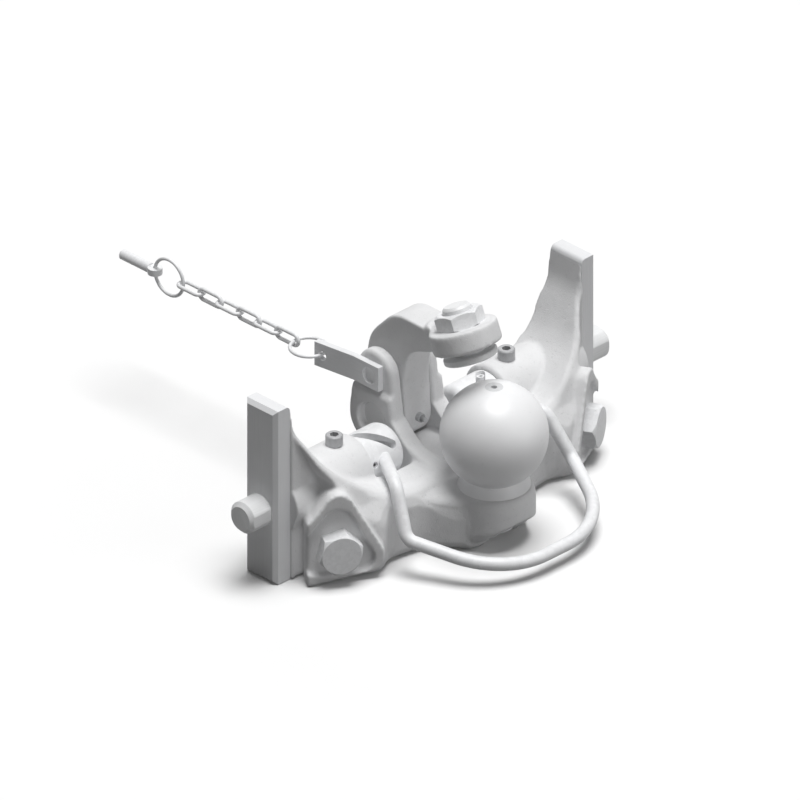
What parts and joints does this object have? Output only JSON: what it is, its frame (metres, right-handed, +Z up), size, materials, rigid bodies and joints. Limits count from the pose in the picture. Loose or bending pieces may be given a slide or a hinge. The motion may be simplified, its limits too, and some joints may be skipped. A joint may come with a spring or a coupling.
{
  "type": "ball hitch carrier",
  "caption": "Tractor tow ball on a cast slide-in carrier with a hold-down lever, lifting handle, coupled locking pins and a chained lock pin.",
  "frame": {"origin": "on the axis of the two locking pins, midway between the guide bars", "axes": "+X to the right-hand guide bar, -Y towards the trailer and the ball, +Z up along the ladder frame"},
  "size_m": [0.37, 0.4207, 0.1821],
  "materials": {
    "cast_steel": "matte",
    "bar_steel": "satin",
    "ball_steel": "polished",
    "pin_steel": "satin",
    "rod_zinc": "zinc plated",
    "bolt_zinc": "zinc plated",
    "screw_steel": "blackened",
    "chain_zinc": "zinc plated"
  },
  "bodies": {
    "carrier": {"carrier_body": "cast_steel", "left_guide_bar": "bar_steel", "right_guide_bar": "bar_steel", "left_front_bolt": "bolt_zinc", "right_front_bolt": "bolt_zinc", "left_guide_screw": "screw_steel", "right_guide_screw": "screw_steel", "ball": "ball_steel", "ball_plug": "bolt_zinc", "pivot_pin": "pin_steel"},
    "handle": {"lift_handle": "rod_zinc", "left_cam_hub": "rod_zinc", "right_cam_hub": "rod_zinc", "left_hub_screw": "screw_steel", "right_hub_screw": "screw_steel"},
    "left_pin": {"left_locking_pin": "pin_steel", "left_cam_screw": "screw_steel"},
    "right_pin": {"right_locking_pin": "pin_steel", "right_cam_screw": "screw_steel"},
    "lever": {"hold_down_lever": "cast_steel", "press_spindle": "pin_steel", "spindle_nut": "bolt_zinc", "grease_nipple": "bolt_zinc"},
    "lock": {"lock_pin": "pin_steel", "lock_flag": "rod_zinc"},
    "near_ring": {"near_ring": "chain_zinc"},
    "far_ring": {"far_ring": "chain_zinc"},
    "linch_pin": {"linch_pin": "chain_zinc"},
    "link_1": {"chain_link_1": "chain_zinc"},
    "link_2": {"chain_link_2": "chain_zinc"},
    "link_3": {"chain_link_3": "chain_zinc"},
    "link_4": {"chain_link_4": "chain_zinc"},
    "link_5": {"chain_link_5": "chain_zinc"},
    "link_6": {"chain_link_6": "chain_zinc"}
  },
  "joints": [
    {"name": "handle_lift", "type": "hinge", "parent": "carrier", "child": "handle", "pos_m": [0, 0, 0], "axis": [-1, 0, 0], "range_deg": [0, 60]},
    {"name": "left_pin_slide", "type": "slide", "parent": "carrier", "child": "left_pin", "axis": [1, 0, 0], "range_m": [0, 0.02]},
    {"name": "right_pin_slide", "type": "slide", "parent": "carrier", "child": "right_pin", "axis": [-1, 0, 0], "range_m": [0, 0.02]},
    {"name": "hold_down_swing", "type": "hinge", "parent": "carrier", "child": "lever", "pos_m": [0, 0.0236, 0.01], "axis": [-1, 0, 0], "range_deg": [0, 75]},
    {"name": "lock_pull", "type": "slide", "parent": "carrier", "child": "lock", "axis": [-1, 0, 0], "range_m": [0, 0.045]},
    {"name": "near_ring_swing", "type": "hinge", "parent": "lock", "child": "near_ring", "pos_m": [-0.03101, 0.06937, 0.0475], "axis": [1, 0, 0], "range_deg": [-60, 60]},
    {"name": "link_1_swing", "type": "hinge", "parent": "near_ring", "child": "link_1", "pos_m": [-0.03101, 0.09737, 0.0475], "axis": [-1, 0, 0], "range_deg": [-60, 60]},
    {"name": "link_2_swing", "type": "hinge", "parent": "link_1", "child": "link_2", "pos_m": [-0.03101, 0.11397, 0.0475], "axis": [1, 0, 0], "range_deg": [-60, 60]},
    {"name": "link_3_swing", "type": "hinge", "parent": "link_2", "child": "link_3", "pos_m": [-0.03101, 0.13697, 0.0475], "axis": [-1, 0, 0], "range_deg": [-60, 60]},
    {"name": "link_4_swing", "type": "hinge", "parent": "link_3", "child": "link_4", "pos_m": [-0.03101, 0.15337, 0.0475], "axis": [1, 0, 0], "range_deg": [-60, 60]},
    {"name": "link_5_swing", "type": "hinge", "parent": "link_4", "child": "link_5", "pos_m": [-0.03101, 0.17637, 0.0475], "axis": [-1, 0, 0], "range_deg": [-60, 60]},
    {"name": "link_6_swing", "type": "hinge", "parent": "link_5", "child": "link_6", "pos_m": [-0.03101, 0.19277, 0.0475], "axis": [1, 0, 0], "range_deg": [-60, 60]},
    {"name": "far_ring_swing", "type": "hinge", "parent": "link_6", "child": "far_ring", "pos_m": [-0.03101, 0.21577, 0.0475], "axis": [-1, 0, 0], "range_deg": [-60, 60]},
    {"name": "linch_pin_swing", "type": "hinge", "parent": "far_ring", "child": "linch_pin", "pos_m": [-0.03101, 0.24167, 0.0475], "axis": [0, 0, 1], "range_deg": [-45, 45]}
  ],
  "couplings": [
    {"joint": "left_pin_slide", "follows": "handle_lift", "m_per_rad": 0.019099},
    {"joint": "right_pin_slide", "follows": "handle_lift", "m_per_rad": 0.019099}
  ]
}
